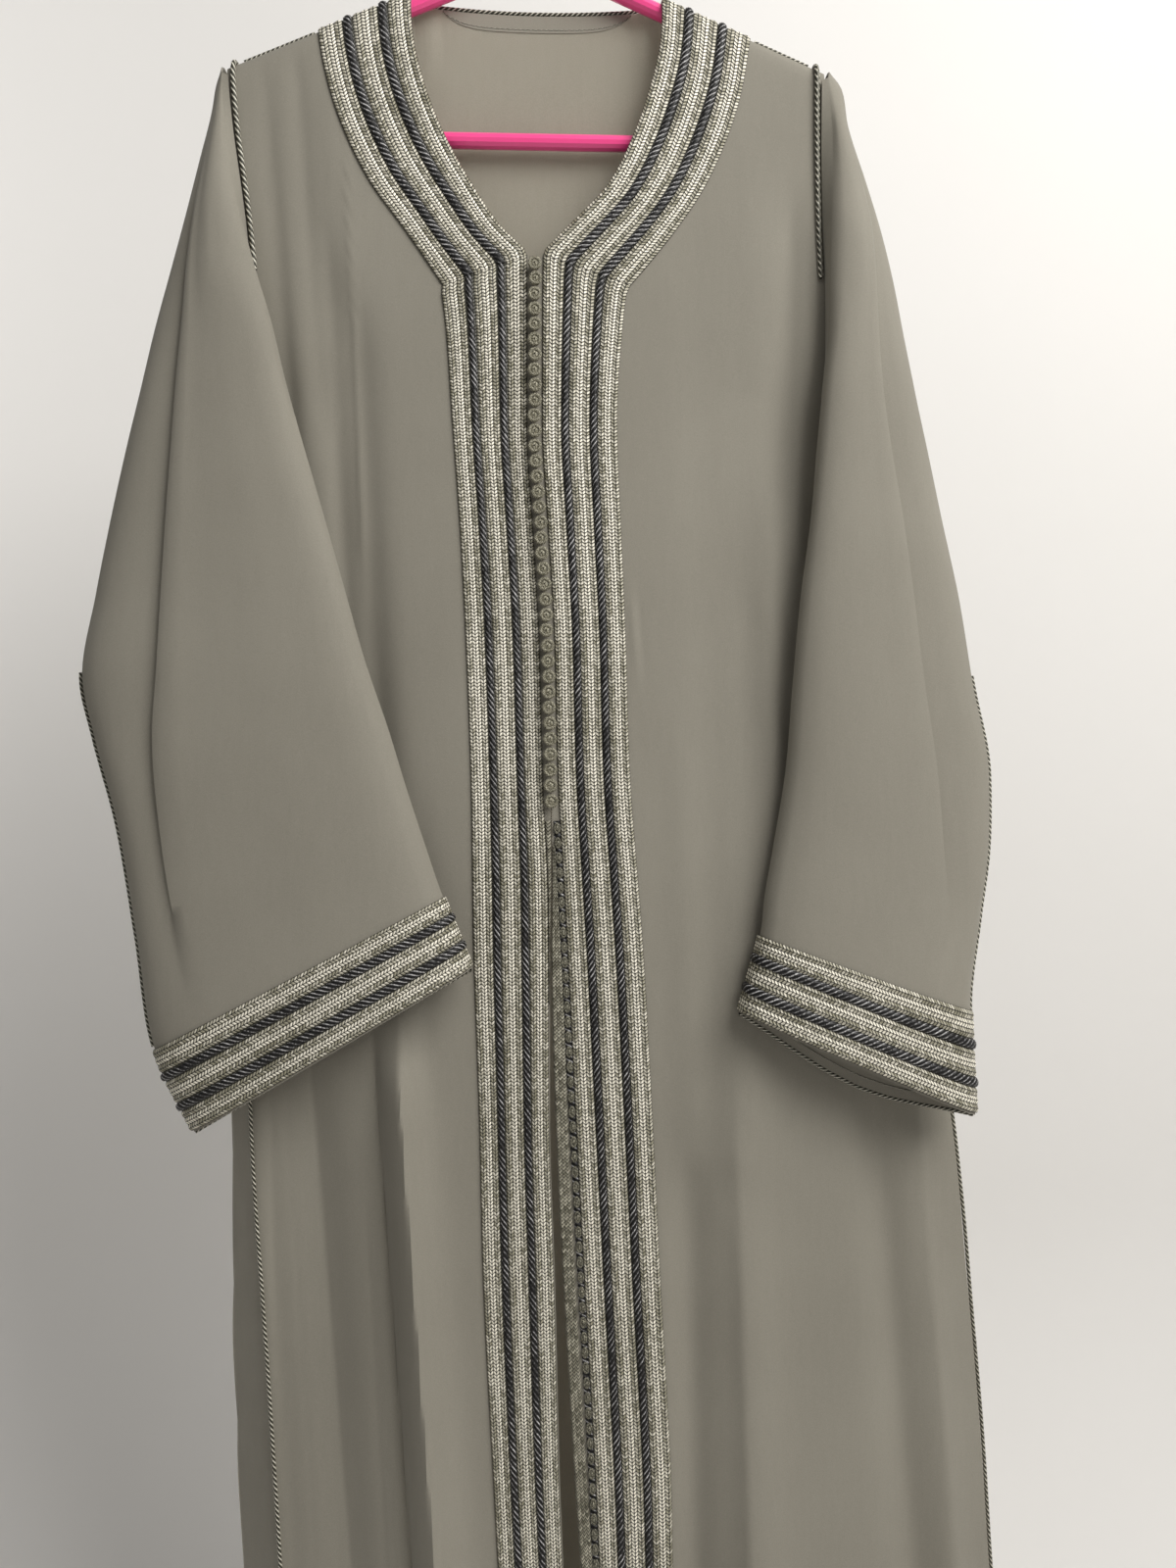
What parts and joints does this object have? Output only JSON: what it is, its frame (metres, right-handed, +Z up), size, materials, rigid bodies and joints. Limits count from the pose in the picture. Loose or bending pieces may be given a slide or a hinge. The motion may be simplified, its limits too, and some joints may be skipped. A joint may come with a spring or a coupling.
{
  "type": "moroccan kaftan on a hanger",
  "caption": "Long open-front kaftan in plain crepe with wide braid bands at neck, front and cuffs, knotted buttons to the waist, hanging on a tube hanger.",
  "frame": {"origin": "the underside of the hook's crown, where a rod carries the hanger", "axes": "+Z up along the garment's length, -Y to the front, +X to the viewer's right"},
  "size_m": [0.6564, 0.1116, 1.4923],
  "materials": {
    "crepe": "plain matte crepe, grey sage, with a very soft sheen",
    "braid": "silvery champagne metallic braid with dark olive flecks and dark twisted cords",
    "piping": "thin olive and silver twisted cord",
    "knots": "knotted olive grey cord buttons",
    "plastic": "bright pink plastic tube, smooth, slightly glossy"
  },
  "bodies": {
    "root": {"front_left": "crepe", "front_right": "crepe", "back": "crepe", "sleeve_left": "crepe", "sleeve_right": "crepe", "back_neck_facing": "crepe", "neck_band_left": "braid", "neck_band_right": "braid", "front_band_left": "braid", "front_band_right": "braid", "cuff_band_left": "braid", "cuff_band_right": "braid", "placket_strip_right": "braid", "armhole_cord_left": "piping", "armhole_cord_right": "piping", "back_neck_cord": "piping", "shoulder_cord_left": "piping", "shoulder_cord_right": "piping", "side_cord_left": "piping", "side_cord_right": "piping", "sleeve_cord_left": "piping", "sleeve_cord_right": "piping", "button_01": "knots", "button_02": "knots", "button_03": "knots", "button_04": "knots", "button_05": "knots", "button_06": "knots", "button_07": "knots", "button_08": "knots", "button_09": "knots", "button_10": "knots", "button_11": "knots", "button_12": "knots", "button_13": "knots", "button_14": "knots", "button_15": "knots", "button_16": "knots", "button_17": "knots", "button_18": "knots", "button_19": "knots", "button_20": "knots", "button_21": "knots", "button_22": "knots", "button_23": "knots", "button_24": "knots", "button_25": "knots", "button_26": "knots", "button_27": "knots", "button_28": "knots", "button_29": "knots", "button_30": "knots", "button_31": "knots", "button_32": "knots", "button_33": "knots", "button_34": "knots", "button_35": "knots", "button_36": "knots", "placket_cord_right": "knots", "hanger": "plastic"}
  },
  "joints": []
}
